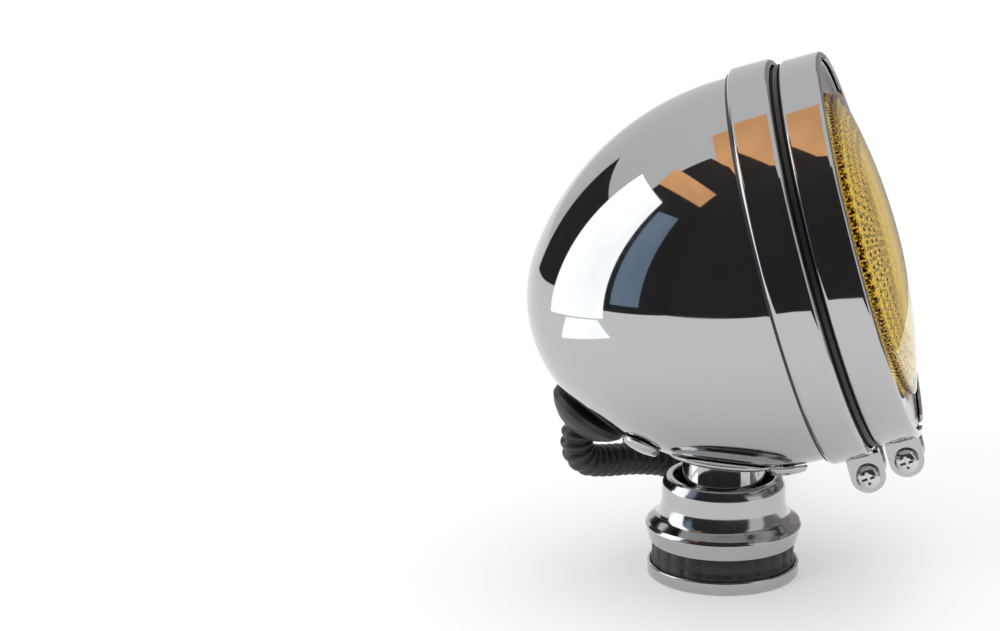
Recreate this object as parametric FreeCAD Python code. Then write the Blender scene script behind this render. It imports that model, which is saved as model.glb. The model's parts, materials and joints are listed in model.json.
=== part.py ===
import FreeCAD, Part
import math
import os

from FreeCAD import Placement, Rotation, Vector

# Round clamp-band fog lamp on a swivelling pedestal. Millimetres.
# +Z is up, the lens faces -Y, and the origin is the centre of the base disc's underside,
# on the upright stud axis. The head is built about its own axis, where "a" counts forward
# from the point at which the head's axis crosses the stud axis, and then tilted into place.

# ---- driving dimensions ----
TILT = 16.5             # lens-up tilt of the head's axis, degrees
HEAD_Z = 124.2          # height at which the head's axis crosses the stud axis

NOSE_R = 56.0           # bowl: rounded back
NOSE_TIP = -82.0        # bowl: rear-most point along a
NOSE_TURN = 36.0        # where the nose arc meets the flank arc, degrees from the axis
FLANK_R = 113.0         # bowl: long flank arc
BOWL_END = 34.0         # bowl: front edge along a
BOWL_T = 0.9            # bowl sheet thickness

BAND_T = 1.2            # clamp band sheet thickness
REAR_BAND_R = 82.5
REAR_BAND_A = (23.0, 40.4)
FRONT_BAND_R = 80.2
FRONT_BAND_A = (43.6, 60.8)
BAND_ROUND = 2.2        # shoulder radius of the bands
LUG_GAP = 7.0           # half the gap between a band's two lugs
LUG_T = 1.4
LUG_HALF_WIDTH = 7.2
REAR_LUG = (34.2, 92.0)     # a and radius of the rear clamp screw
FRONT_LUG = (51.0, 89.4)    # a and radius of the front clamp screw
SCREW_R = 2.5           # M5 clamp screws
SCREW_LENGTH = 35.0
SCREW_HEAD_R = 5.0
SCREW_HEAD_T = 3.6
SCREW_FIT = 0.06        # running clearance of a clamp screw in its lugs

LENS_R = 62.8
LENS_RIM_A = 62.4
LENS_DOME = 8.8         # rise of the lens dome over its rim
LENS_T = 3.4

BALL_Z = 30.0           # centre of the swivel ball
BALL_R = 19.0
BALL_T = 1.8
COLLAR_R = 17.0
COLLAR_TOP = 66.5
SEAT_CLEAR = 0.3        # gap between the ball and what it turns in
STUD_R = 6.0
STUD_TOP = 25.2         # underside of the stud's head
THREAD_R = 3.4          # tapped M8 hole up the stud
THREAD_DEPTH = 15.0

BASE_R = 31.1
BASE_RIM = 5.7          # height of the base disc's rolled rim
SKIRT_Z = 14.8          # lower edge of the pedestal's skirt
SKIRT_R = 30.2
FLARE_Z = 21.3          # widest turn of the pedestal
FLARE_R = 32.2
WAIST_R = 25.3
LIP_R = 20.7            # pedestal's open top
LIP_Z = 42.0
CUP_T = 1.3
PLATE_TOP = 17.2        # top of the plate that closes the pedestal from below

LOOM_R = 6.8            # outer radius of the corrugated loom
GROMMET_TURN = 39.0     # where the grommet sits on the bowl's profile, degrees from the axis
GROMMET_HOLE = 8.0

# loom route, from the grommet round behind the neck and down to the surface it stands on
LOOM_ROUTE = [
    (0.0, 58.0, 66.2),
    (0.6, 61.6, 54.8),
    (5.0, 58.4, 44.8),
    (15.0, 50.2, 41.2),
    (27.5, 38.2, 38.8),
    (39.5, 24.0, 34.2),
    (46.5, 9.5, 24.4),
    (52.0, 0.0, 13.0),
    (64.0, -4.6, 7.0),
    (81.0, -3.4, 7.0),
    (99.0, -5.6, 7.0),
    (116.0, -4.4, 7.0),
]
LOOM_ARC_SHARE = 0.45   # share of the shorter run that an arc may use

nodes = {}


# ---- helpers ----
def edge_path(items):
    """Closed edges through (x, y) points; ((mx, my), (x, y)) is an arc through the middle point."""
    edges = []
    here = Vector(items[0][0], 0, items[0][1])
    first = here
    for item in items[1:]:
        if isinstance(item[0], tuple):
            middle = Vector(item[0][0], 0, item[0][1])
            there = Vector(item[1][0], 0, item[1][1])
            edges.append(Part.Arc(here, middle, there).toShape())
        else:
            there = Vector(item[0], 0, item[1])
            edges.append(Part.LineSegment(here, there).toShape())
        here = there
    if (here - first).Length > 1e-6:
        edges.append(Part.LineSegment(here, first).toShape())
    return edges


def turned(items):
    """Solid of revolution about Z from an outline of (radius, height) points."""
    face = Part.Face(Part.Wire(edge_path(items)))
    return face.revolve(Vector(0, 0, 0), Vector(0, 0, 1), 360)


def crown(radius, height, rise):
    """Middle and top of a round cap that starts at an edge and is level on the axis."""
    sphere_r = (radius ** 2 + rise ** 2) / (2 * rise)
    centre = height + rise - sphere_r
    half = math.atan2(radius, height - centre) / 2
    return (sphere_r * math.sin(half), centre + sphere_r * math.cos(half)), (0, height + rise)


def cylinder(radius, low, high, x=0.0, y=0.0):
    return Part.makeCylinder(radius, high - low, Vector(x, y, low))


def ring(inner, outer, low, high):
    return cylinder(outer, low, high).cut(cylinder(inner, low - 1, high + 1))


def box(x, y, z):
    """Box from three (low, high) pairs."""
    return Part.makeBox(x[1] - x[0], y[1] - y[0], z[1] - z[0], Vector(x[0], y[0], z[0]))


def hexagon(across_flats, low, high):
    radius = across_flats / math.sqrt(3)
    corners = [Vector(radius * math.cos(math.radians(60 * k)),
                      radius * math.sin(math.radians(60 * k)), low) for k in range(7)]
    return Part.Face(Part.makePolygon(corners)).extrude(Vector(0, 0, high - low))


def placed(shape, origin, direction):
    """Copy of a shape built along +Z, moved so that +Z points along direction."""
    result = shape.copy()
    turn = Rotation(Vector(0, 0, 1), Vector(*direction))
    result.Placement = Placement(Vector(*origin), turn).multiply(result.Placement)
    return result


HEAD_PLACE = Placement(Vector(0, 0, HEAD_Z), Rotation(Vector(1, 0, 0), 90 - TILT))


def in_head(shape):
    """Head pieces are built with local Z along the head's axis and local Y up."""
    result = shape.copy()
    result.Placement = HEAD_PLACE.multiply(result.Placement)
    return result


def head_point(x, up, a):
    return HEAD_PLACE.multVec(Vector(x, up, a))


def head_direction(x, up, a):
    return HEAD_PLACE.Rotation.multVec(Vector(x, up, a))


# ---- bowl profile: a nose arc and a flank arc, both offset inward together ----
NOSE_CENTRE = NOSE_TIP + NOSE_R
JOIN = (NOSE_R * math.sin(math.radians(NOSE_TURN)),
        NOSE_CENTRE - NOSE_R * math.cos(math.radians(NOSE_TURN)))
FLANK_CENTRE = (JOIN[0] - FLANK_R * math.sin(math.radians(NOSE_TURN)),
                JOIN[1] + FLANK_R * math.cos(math.radians(NOSE_TURN)))
BOWL_R = FLANK_CENTRE[0] + FLANK_R


def on_nose(angle, inset):
    radius = NOSE_R - inset
    turn = math.radians(angle)
    return (radius * math.sin(turn), NOSE_CENTRE - radius * math.cos(turn))


def on_flank(angle, inset):
    radius = FLANK_R - inset
    turn = math.radians(angle)
    return (FLANK_CENTRE[0] + radius * math.sin(turn), FLANK_CENTRE[1] - radius * math.cos(turn))


def bowl_solid(inset, end):
    """Filled bowl shape whose surface lies the given inset inside the outer skin."""
    half_turn = (NOSE_TURN + 90) / 2
    return turned([
        (0, NOSE_TIP + inset),
        (on_nose(NOSE_TURN / 2, inset), on_nose(NOSE_TURN, inset)),
        (on_flank(half_turn, inset), (BOWL_R - inset, FLANK_CENTRE[1])),
        (BOWL_R - inset, end),
        (0, end)])


def bowl_surface(angle, lateral):
    """World point and outward normal on the bowl's underside.

    angle runs along the profile in degrees from the axis, lateral turns about the head's axis."""
    radius, a = on_nose(angle, 0) if angle < NOSE_TURN else on_flank(angle, 0)
    turn = math.radians(lateral)
    slope = math.radians(angle)
    point = head_point(-radius * math.sin(turn), -radius * math.cos(turn), a)
    normal = head_direction(-math.sin(slope) * math.sin(turn),
                            -math.sin(slope) * math.cos(turn), -math.cos(slope))
    return point, normal


# ---- base ----
def make_base():
    plate_low = PLATE_TOP - 1.8
    nodes["base_disc"] = turned([
        (STUD_R, 0), (BASE_R - 1.6, 0), ((BASE_R - 0.5, 0.5), (BASE_R, 1.6)),
        (BASE_R, BASE_RIM - 0.6), ((BASE_R - 0.6, BASE_RIM), (BASE_R - 1.2, BASE_RIM - 0.6)),
        (BASE_R - 1.2, 1.2), (STUD_R, 1.2)])
    nodes["rubber_pad"] = turned([
        (14.2, 1.2), (BASE_R - 1.2, 1.2), (BASE_R - 1.3, BASE_RIM + 0.2),
        ((BASE_R - 1.8, 10.4), (SKIRT_R - 1.5, plate_low)), (14.2, plate_low)])
    nodes["weld_nut"] = hexagon(18, 1.2, 7.2).cut(cylinder(STUD_R, 0, 8))
    nodes["pedestal_plate"] = ring(14.8, SKIRT_R - 1.5, plate_low, PLATE_TOP)
    nodes["pedestal_cup"] = pedestal_cup()
    nodes["ball_seat"] = ball_seat()
    stud = cylinder(STUD_R, 0, STUD_TOP + 1).fuse(hexagon(19, STUD_TOP, STUD_TOP + 7.5))
    stud = stud.cut(cylinder(THREAD_R, -1, THREAD_DEPTH))
    nodes["pivot_stud"] = stud.removeSplitter()
    nodes["spring_washer"] = turned([
        (STUD_R + 0.1, 23.6), (10.2, 22.9), (10.2, 24.1), (STUD_R + 0.1, STUD_TOP)])


def pedestal_cup():
    waist_in = WAIST_R - CUP_T
    return turned([
        (SKIRT_R, SKIRT_Z), (FLARE_R - 0.4, FLARE_Z - 0.8),
        ((FLARE_R, FLARE_Z), (FLARE_R - 0.5, FLARE_Z + 0.9)),
        ((27.6, 24.4), (WAIST_R + 0.3, 29.6)), (WAIST_R, 36.6),
        ((24.0, 40.6), (LIP_R + 0.9, LIP_Z)), ((LIP_R, LIP_Z - 0.4), (LIP_R, LIP_Z - 1.3)),
        (LIP_R + 0.9, LIP_Z - 1.5), ((23.0, 39.4), (waist_in, 36.2)), (waist_in, 29.2),
        ((26.4, 23.8), (FLARE_R - 1.9, FLARE_Z - 0.4)), (SKIRT_R - CUP_T, SKIRT_Z)])


def ball_seat():
    radius = BALL_R + SEAT_CLEAR
    low = PLATE_TOP
    inner = math.sqrt(radius ** 2 - (BALL_Z - low) ** 2)
    half = math.radians(25)
    return turned([
        (inner, low), (WAIST_R - CUP_T, low), (WAIST_R - CUP_T, BALL_Z), (radius, BALL_Z),
        ((radius * math.cos(half), BALL_Z - radius * math.sin(half)), (inner, low))])


# ---- swivel: the tongued washer that turns on the stud with the ball ----
def make_swivel():
    radius = BALL_R - BALL_T - SEAT_CLEAR
    outer = 13.8
    bore = STUD_R + 0.05
    washer = turned([
        (0, BALL_Z - radius),
        ((radius * math.sin(math.radians(27)), BALL_Z - radius * math.cos(math.radians(27))),
         (outer, BALL_Z - math.sqrt(radius ** 2 - outer ** 2))),
        (outer, 22.8), (0, 22.8)])
    tongue = box((-8.2, 8.2), (-8.2, 8.2), (12.4, 18.0))
    nodes["slot_washer"] = washer.fuse(tongue).cut(cylinder(bore, 0, 30)).removeSplitter()


# ---- neck pieces of the head ----
def make_neck():
    outer, inner = BALL_R, BALL_R - BALL_T
    collar_in = COLLAR_R - 2.0
    meet_out = BALL_Z + math.sqrt(outer ** 2 - COLLAR_R ** 2)
    meet_in = BALL_Z + math.sqrt(inner ** 2 - collar_in ** 2)
    ball = turned([
        (0, BALL_Z - outer), ((outer, BALL_Z), (COLLAR_R, meet_out)), (COLLAR_R, COLLAR_TOP),
        (collar_in, COLLAR_TOP), (collar_in, meet_in), ((inner, BALL_Z), (0, BALL_Z - inner))])
    slot = box((-8.5, 8.5), (-13.0, 13.0), (8, 21.5))
    nodes["swivel_ball"] = ball.cut(slot)

    flange = ring(COLLAR_R + 0.05, 24.6, 40, 75)
    skin = bowl_solid(-1.9, BOWL_END).cut(bowl_solid(-0.05, BOWL_END + 1))
    nodes["saddle_flange"] = in_head(skin).common(flange)

    plate_skin = bowl_solid(BOWL_T + 0.05, 20).cut(bowl_solid(BOWL_T + 1.8, 21))
    footprint = box((-47, 47), (-34, 46), (44, 86))
    footprint = footprint.makeFillet(12, [e for e in footprint.Edges
                                          if abs(e.tangentAt(e.FirstParameter).z) > 0.9])
    plate = in_head(plate_skin).common(footprint).cut(cylinder(COLLAR_R + 0.05, 30, 100))
    for point, normal in plate_bolt_places():
        plate = plate.cut(placed(cylinder(3.1, -20, 20), point, normal))
    nodes["reinforcing_plate"] = plate

    nut_low = COLLAR_TOP - 4.05
    wedge = ring(COLLAR_R + 0.05, 22.0, 40, nut_low - 0.05)
    nodes["levelling_ring"] = in_head(bowl_solid(BOWL_T + 1.85, 20)).common(wedge)
    ring_nut = cylinder(22.5, nut_low, COLLAR_TOP).cut(cylinder(COLLAR_R, 50, 75))
    for k in range(4):
        notch = box((20.6, 24), (-2.2, 2.2), (60, 68))
        notch.rotate(Vector(0, 0, 0), Vector(0, 0, 1), 90 * k + 45)
        ring_nut = ring_nut.cut(notch)
    nodes["collar_ring_nut"] = ring_nut


PLATE_BOLTS = [(53.0, 30.0), (53.0, -30.0), (82.5, 17.0), (82.5, -17.0)]


def plate_bolt_places():
    return [bowl_surface(angle, lateral) for angle, lateral in PLATE_BOLTS]


def make_plate_bolts():
    head = turned([(0, 0.15), (8.0, 0.15), (8.3, 1.0), (7.4, 2.8), crown(7.4, 2.8, 0.9)])
    shank = cylinder(3.0, -10.5, 0.5)
    nut = hexagon(10, -8.0, -3.4).cut(cylinder(3.0, -12, 0))
    bolts = [placed(head.fuse(shank), point, normal) for point, normal in plate_bolt_places()]
    nuts = [placed(nut, point, normal) for point, normal in plate_bolt_places()]
    nodes["plate_bolts"] = Part.makeCompound(bolts)
    nodes["plate_nuts"] = Part.makeCompound(nuts)


# ---- housing bowl and the rings it carries ----
def make_bowl():
    bowl = in_head(bowl_solid(0, BOWL_END).cut(bowl_solid(BOWL_T, BOWL_END + 1)))
    bowl = bowl.cut(cylinder(COLLAR_R + 0.05, 30, 80))
    for point, normal in plate_bolt_places():
        bowl = bowl.cut(placed(cylinder(3.1, -8, 4), point, normal))
    point, normal = bowl_surface(GROMMET_TURN, 0)
    nodes["housing_bowl"] = bowl.cut(placed(cylinder(GROMMET_HOLE, -8, 4), point, normal))


def band(radius, span, lug, back_lip, front_lip):
    """Split clamp band: rolled hoop with turned-in lips and two lugs below."""
    low, high = span
    inner = radius - BAND_T
    k = BAND_ROUND
    c = k * (1 - math.sqrt(0.5))
    ki = k - BAND_T
    ci = ki * (1 - math.sqrt(0.5))
    hoop = turned([
        (back_lip, low), (radius - k, low), ((radius - c, low + c), (radius, low + k)),
        (radius, high - k), ((radius - c, high - c), (radius - k, high)), (front_lip, high),
        (front_lip, high - BAND_T), (radius - k, high - BAND_T),
        ((inner - ci, high - BAND_T - ci), (inner, high - k)), (inner, low + k),
        ((inner - ci, low + BAND_T + ci), (radius - k, low + BAND_T)), (back_lip, low + BAND_T)])
    gap = box((-LUG_GAP, LUG_GAP), (-radius - 2, -50), (low - 1, high + 1))
    result = hoop.cut(gap)
    place, reach = lug
    for side in (-1, 1):
        x = (LUG_GAP, LUG_GAP + LUG_T) if side > 0 else (-LUG_GAP - LUG_T, -LUG_GAP)
        strap = box(x, (-reach, -radius + 1.3), (place - LUG_HALF_WIDTH, place + LUG_HALF_WIDTH))
        tip = Part.makeCylinder(LUG_HALF_WIDTH, LUG_T, Vector(x[0], -reach, place), Vector(1, 0, 0))
        hole = Part.makeCylinder(SCREW_R + SCREW_FIT, 12, Vector(x[0] - 5, -reach, place),
                                 Vector(1, 0, 0))
        result = result.fuse(strap).fuse(tip).cut(hole)
    return in_head(result.removeSplitter())


def make_bands():
    nodes["rear_clamp_band"] = band(REAR_BAND_R, REAR_BAND_A, REAR_LUG, BOWL_R + 0.15, BOWL_R - 0.1)
    nodes["front_clamp_band"] = band(FRONT_BAND_R, FRONT_BAND_A, FRONT_LUG, 77.9, 77.1)
    nodes["carrier_ring"] = in_head(turned([
        (75.6, 28.5), (77.0, 28.5), (77.0, 51.6), (75.6, 51.6)]))
    nodes["band_gasket"] = in_head(turned([
        (77.05, BOWL_END + 0.6), (78.4, BOWL_END + 0.6), (78.4, 39.0), (78.4, 40.9),
        ((79.1, 41.2), (79.3, 42.1)), ((79.1, 43.0), (78.4, 43.3)), (77.8, 43.3),
        (77.8, 45.2), (77.6, 45.2), (77.6, 49.6), (77.05, 49.6)]))


def make_clamp_screws():
    shape = turned([
        (0, -SCREW_LENGTH), (SCREW_R - 0.5, -SCREW_LENGTH), (SCREW_R, -SCREW_LENGTH + 0.6),
        (SCREW_R, 0), (SCREW_HEAD_R, 0), (SCREW_HEAD_R, 1.5),
        ((SCREW_HEAD_R - 1.2, 3.0), (2.4, SCREW_HEAD_T)), (0, SCREW_HEAD_T)])
    for turn in (45, 135):
        cross = box((-2.6, 2.6), (-0.55, 0.55), (SCREW_HEAD_T - 1.7, SCREW_HEAD_T + 1))
        cross.rotate(Vector(0, 0, 0), Vector(0, 0, 1), turn)
        shape = shape.cut(cross)
    for name, (place, reach) in (("rear_clamp_screw", REAR_LUG), ("front_clamp_screw", FRONT_LUG)):
        origin = head_point(-LUG_GAP - LUG_T - 0.1, -reach, place)
        nodes[name] = placed(shape, origin, (-1, 0, 0))


# ---- optics ----
DISH_APEX = 8.0
DISH_FOCUS = 22.0
DISH_R = 61.4
WELL_R = 25.0
WELL_BACK = -7.0


def make_optics():
    nodes["faceplate"] = in_head(turned([
        (76.0, 52.0), (77.0, 52.0), (77.0, 58.2), ((76.6, 59.2), (75.6, 59.4)),
        ((69.5, 57.8), (LENS_R + 0.5, 57.5)), (LENS_R + 0.5, 56.5), (66.8, 56.5),
        ((71.0, 56.9), (75.4, 58.2)), (76.0, 57.8)]))
    sphere_r = (LENS_R ** 2 + LENS_DOME ** 2) / (2 * LENS_DOME)
    centre = LENS_RIM_A + LENS_DOME - sphere_r
    half = math.asin(LENS_R / sphere_r) / 2

    def dome(radius, angle):
        return (radius * math.sin(angle), centre + radius * math.cos(angle))

    inner_r = sphere_r - LENS_T
    inner_edge = LENS_R - LENS_T
    edge_angle = math.asin(inner_edge / inner_r)
    nodes["lens"] = in_head(turned([
        (0, LENS_RIM_A + LENS_DOME), (dome(sphere_r, half), (LENS_R, LENS_RIM_A)),
        (LENS_R, 55.6), (66.6, 55.6), (66.6, 53.6), (inner_edge, 53.6),
        dome(inner_r, edge_angle), (dome(inner_r, edge_angle / 2), (0, centre + inner_r))]))
    nodes["lens_seal"] = in_head(ring(LENS_R + 1.4, 66.4, 55.65, 56.45))

    def dish(radius, drop):
        return DISH_APEX + radius ** 2 / (4 * DISH_FOCUS) - drop

    middle = (DISH_R + WELL_R) / 2
    rim_a = dish(DISH_R, 0)
    nodes["reflector"] = in_head(turned([
        (WELL_R, dish(WELL_R, 0)), ((middle, dish(middle, 0)), (DISH_R, rim_a)),
        (75.5, rim_a), (75.5, rim_a - 0.8), (DISH_R + 0.6, rim_a - 0.8),
        ((middle + 0.5, dish(middle, 0.7)), (WELL_R, dish(WELL_R, 0.8)))]))
    top = dish(WELL_R, 1.2)
    nodes["bulb_well"] = in_head(turned([
        (WELL_R, top), (WELL_R - 1.0, top), (WELL_R - 1.0, WELL_BACK + 1.0), (11.0, WELL_BACK + 1.0),
        (11.0, WELL_BACK), (WELL_R, WELL_BACK)]))


def make_bulb():
    seat = WELL_BACK + 1.0
    nodes["bulb_flange"] = in_head(turned([
        (0, seat - 5), (9.0, seat - 5), (9.0, seat + 0.1), (10.8, seat + 0.1), (12.2, seat + 0.1),
        (12.2, seat + 1.2), (8.7, seat + 1.2), (8.7, seat + 3.6), (6.2, seat + 3.6),
        (6.2, seat + 2.0), (0, seat + 2.0)]))
    inner_cap = crown(4.8, seat + 15.0, 4.2)
    nodes["bulb_glass"] = in_head(turned([
        (0, seat + 2.1), (5.6, seat + 2.1), (5.6, seat + 15.0), crown(5.6, seat + 15.0, 5.0),
        (0, seat + 19.2), (inner_cap[0], (4.8, seat + 15.0)), (4.8, seat + 2.9), (0, seat + 2.9)]))
    coil = Part.makeCylinder(0.8, 5.0, Vector(-2.5, 0, seat + 12), Vector(1, 0, 0))
    for side in (-1, 1):
        coil = coil.fuse(cylinder(0.35, seat + 2.9, seat + 12, 2.2 * side))
    nodes["bulb_filament"] = in_head(coil)
    bracket = box((-11.5, 11.5), (13.9, 15.0), (seat + 0.1, seat + 6.0))
    bracket = bracket.fuse(box((-11.5, 11.5), (13.9, 19.0), (seat + 0.1, seat + 1.1)))
    nodes["clip_bracket"] = in_head(bracket.removeSplitter())
    nodes["bulb_clip"] = in_head(bulb_clip(seat + 2.4))
    tail = [(0, 0, seat - 5.0), (0, 0, seat - 15), (0, -7, seat - 26), (0, -16, seat - 37)]
    nodes["bulb_lead"] = in_head(bent_tube(tail, 1.5))


CLIP_R = 0.7
CLIP_HINGE_UP = 12.6


def bulb_clip(depth):
    """Sprung wire: a hinge bar above the bulb and two legs that press on its flange."""
    legs = Part.makeCylinder(CLIP_R, 20.0, Vector(-10.0, CLIP_HINGE_UP, depth), Vector(1, 0, 0))
    for side in (-1, 1):
        start = Vector(10.0 * side, CLIP_HINGE_UP, depth)
        legs = legs.fuse(Part.makeCylinder(CLIP_R, 22.0, start, Vector(0, -1, 0)))
        legs = legs.fuse(Part.makeSphere(CLIP_R, start))
        foot = Vector(10.0 * side, CLIP_HINGE_UP - 22.0, depth)
        legs = legs.fuse(Part.makeSphere(CLIP_R, foot))
        legs = legs.fuse(Part.makeCylinder(CLIP_R, 3.0, foot, Vector(side, 0, 0)))
    return legs


# ---- cord ----
def rounded_path(points, report):
    """Straight runs joined by tangent arcs, each as large as its two runs allow."""
    points = [Vector(*p) for p in points]
    runs = [points[i + 1] - points[i] for i in range(len(points) - 1)]
    edges, length = [], 0.0
    here = points[0]
    for i in range(1, len(points) - 1):
        before, after = runs[i - 1], runs[i]
        turn = before.getAngle(after)
        use = LOOM_ARC_SHARE * min(before.Length, after.Length)
        radius = use / math.tan(turn / 2)
        if report:
            print("bend", i, "turn", round(math.degrees(turn), 1), "radius", round(radius, 1),
                  "run", round(after.Length, 1))
        start = points[i] - Vector(before).normalize() * use
        end = points[i] + Vector(after).normalize() * use
        to_centre = (Vector(after).normalize() - Vector(before).normalize()).normalize()
        centre = points[i] + to_centre * (radius / math.cos(turn / 2))
        middle = centre - to_centre * radius
        edges.append(Part.LineSegment(here, start).toShape())
        edges.append(Part.Arc(start, middle, end).toShape())
        length += (start - here).Length + radius * turn
        here = end
    edges.append(Part.LineSegment(here, points[-1]).toShape())
    length += (points[-1] - here).Length
    return Part.Wire(edges), length


def bent_tube(points, radius, report=False):
    path, length = rounded_path(points, report)
    start = Vector(*points[0])
    direction = Vector(*points[1]) - start
    section = Part.Wire([Part.Circle(start, direction, radius).toShape()])
    tube = path.makePipeShell([section], True, True)
    if report:
        volume = math.pi * radius ** 2 * length
        print("tube length", round(length, 1), "volume ratio", round(tube.Volume / volume, 4))
    return tube


def make_cord():
    nodes["cord_loom"] = bent_tube(LOOM_ROUTE, LOOM_R, report=True)
    point, normal = bowl_surface(GROMMET_TURN, 0)
    dome = placed(turned([
        (0, -4.0), (GROMMET_HOLE - 0.05, -4.0), (GROMMET_HOLE - 0.05, 0.4), (17.0, 0.4),
        ((17.4, 1.6), (16.4, 2.8)), ((13.0, 6.6), (6.0, 8.4)), (0, 8.8)]), point, normal)
    dome = dome.cut(in_head(bowl_solid(0.0, BOWL_END).cut(bowl_solid(BOWL_T, BOWL_END + 1))).cut(
        placed(cylinder(GROMMET_HOLE, -8, 4), point, normal)))
    start = Vector(*LOOM_ROUTE[0])
    way = (Vector(*LOOM_ROUTE[1]) - start).normalize()
    socket = placed(cylinder(LOOM_R, 0, 30), start, way)
    wire_hole = placed(cylinder(2.4, -14, 4), point, normal)
    nodes["cord_grommet"] = dome.cut(socket).cut(wire_hole)

    end = Vector(*LOOM_ROUTE[-1])
    way = (end - Vector(*LOOM_ROUTE[-2])).normalize()
    nodes["loom_sleeve"] = placed(turned([
        (0, 0), (LOOM_R, 0), (LOOM_R, 1.5), ((5.6, 5.0), (3.8, 11.0)), (3.6, 14.0), (0, 14.0)]),
        end, way)
    base = end + way * 14.0
    body = box((-6.6, 6.6), (-7.4, 7.4), (0, 20.0))
    body = body.makeFillet(1.2, [e for e in body.Edges if abs(e.tangentAt(e.FirstParameter).z) > 0.9])
    for side in (-1, 1):
        body = body.cut(box((-3.6, 3.6), (side * 3.5 - 2.4, side * 3.5 + 2.4), (9.0, 21.0)))
    latch = box((-8.0, -6.6), (-2.5, 2.5), (3.0, 13.0))
    pins = [box((-1.5, 1.5), (side * 3.5 - 0.4, side * 3.5 + 0.4), (9.0, 17.0)) for side in (-1, 1)]
    heading = math.degrees(math.atan2(way.y, way.x))
    place = Placement(base, Rotation(Vector(0, 0, 1), heading).multiply(
        Rotation(Vector(0, 0, 1), Vector(1, 0, 0))))
    for name, shape in (("lead_connector", body.fuse(latch)), ("connector_pins", Part.makeCompound(pins))):
        shape.Placement = place.multiply(shape.Placement)
        nodes[name] = shape


make_base()
make_swivel()
make_neck()
make_plate_bolts()
make_bowl()
make_bands()
make_clamp_screws()
make_optics()
make_bulb()
make_cord()

os.makedirs("parts", exist_ok=True)
for node_name, node_shape in nodes.items():
    if not node_shape.isValid() or not node_shape.Solids:
        print("INVALID", node_name)
    node_shape.exportStep("parts/" + node_name + ".step")
print(len(nodes), "nodes")
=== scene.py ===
"""Round chrome fog light with an amber beaded lens on a swivelling pedestal."""
import json
import math

import bmesh
import bpy
from bpy.props import FloatProperty, FloatVectorProperty, IntProperty, PointerProperty
from bpy.types import Operator, Panel, PropertyGroup
from mathutils import Matrix, Vector


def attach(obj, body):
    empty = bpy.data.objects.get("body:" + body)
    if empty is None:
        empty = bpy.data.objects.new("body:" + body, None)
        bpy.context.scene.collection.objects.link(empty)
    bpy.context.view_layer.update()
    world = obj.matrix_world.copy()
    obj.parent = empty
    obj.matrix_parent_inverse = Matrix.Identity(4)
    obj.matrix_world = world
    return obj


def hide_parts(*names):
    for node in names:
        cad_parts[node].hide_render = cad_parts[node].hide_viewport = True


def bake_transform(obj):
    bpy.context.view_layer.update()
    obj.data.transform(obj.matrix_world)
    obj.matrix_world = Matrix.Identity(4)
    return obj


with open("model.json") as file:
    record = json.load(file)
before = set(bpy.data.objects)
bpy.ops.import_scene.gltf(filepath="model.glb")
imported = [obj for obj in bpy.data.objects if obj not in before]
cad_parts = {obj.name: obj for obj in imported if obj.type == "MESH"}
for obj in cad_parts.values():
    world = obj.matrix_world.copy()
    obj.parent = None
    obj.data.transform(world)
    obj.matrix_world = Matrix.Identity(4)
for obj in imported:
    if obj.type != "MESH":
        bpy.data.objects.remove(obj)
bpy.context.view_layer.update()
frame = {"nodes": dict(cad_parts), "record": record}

bl_info = {
    "name": "Round Fog Light",
    "version": (1, 0, 0),
    "blender": (4, 5, 0),
    "location": "View3D > Sidebar > Fog Light",
    "description": "Finishes and detail for a clamp-band fog light on a swivel pedestal",
    "category": "Object",
}

# Outlines below are in millimetres and are scaled by MM as they become meshes, in metres.
MM = 0.001
TILT = math.radians(16.5)       # lens-up tilt of the head's axis
HEAD_Z = 124.2                  # where the head's axis crosses the upright stud axis
HEAD = Matrix.Translation((0, 0, HEAD_Z * MM)) @ Matrix.Rotation(math.pi / 2 - TILT, 4, "X")
AROUND = 256                    # facets of a large turned piece

# bowl: a nose arc that runs into a long flank arc
NOSE_R = 56.0
NOSE_TIP = -82.0
NOSE_TURN = math.radians(36.0)
FLANK_R = 113.0
BOWL_END = 34.0
BOWL_T = 0.9
NOSE_CENTRE = NOSE_TIP + NOSE_R
FLANK_CENTRE_R = (NOSE_R - FLANK_R) * math.sin(NOSE_TURN)
FLANK_CENTRE_A = NOSE_CENTRE + (FLANK_R - NOSE_R) * math.cos(NOSE_TURN)
BOWL_R = FLANK_CENTRE_R + FLANK_R

# clamp bands: radius, span along the head's axis, and where each screw crosses
REAR_BAND = {"radius": 82.5, "span": (23.0, 40.4), "screw": (34.2, 92.0), "lip": BOWL_R + 0.1}
FRONT_BAND = {"radius": 80.2, "span": (43.6, 60.8), "screw": (51.0, 89.4), "lip": 77.2}
BAND_T = 1.2
LUG_GAP = 7.0
LUG_T = 1.4
LUG_HALF_WIDTH = 7.2

# lens and reflector
LENS_R = 62.8
LENS_RIM_A = 62.4
LENS_DOME = 8.8
LENS_T = 3.4
DISH_APEX = 8.0
DISH_FOCUS = 22.0
DISH_R = 61.4
WELL_R = 25.0
WELL_BACK = -7.0

# loom: route of its centre line, in metres, the same points as its CAD tube
LOOM_R = 0.0068
LOOM_ROUTE = [
    (0.0000, 0.0580, 0.0662),
    (0.0006, 0.0616, 0.0548),
    (0.0050, 0.0584, 0.0448),
    (0.0150, 0.0502, 0.0412),
    (0.0275, 0.0382, 0.0388),
    (0.0395, 0.0240, 0.0342),
    (0.0465, 0.0095, 0.0244),
    (0.0520, 0.0000, 0.0130),
    (0.0640, -0.0046, 0.0070),
    (0.0810, -0.0034, 0.0070),
    (0.0990, -0.0056, 0.0070),
    (0.1160, -0.0044, 0.0070),
]


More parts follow.
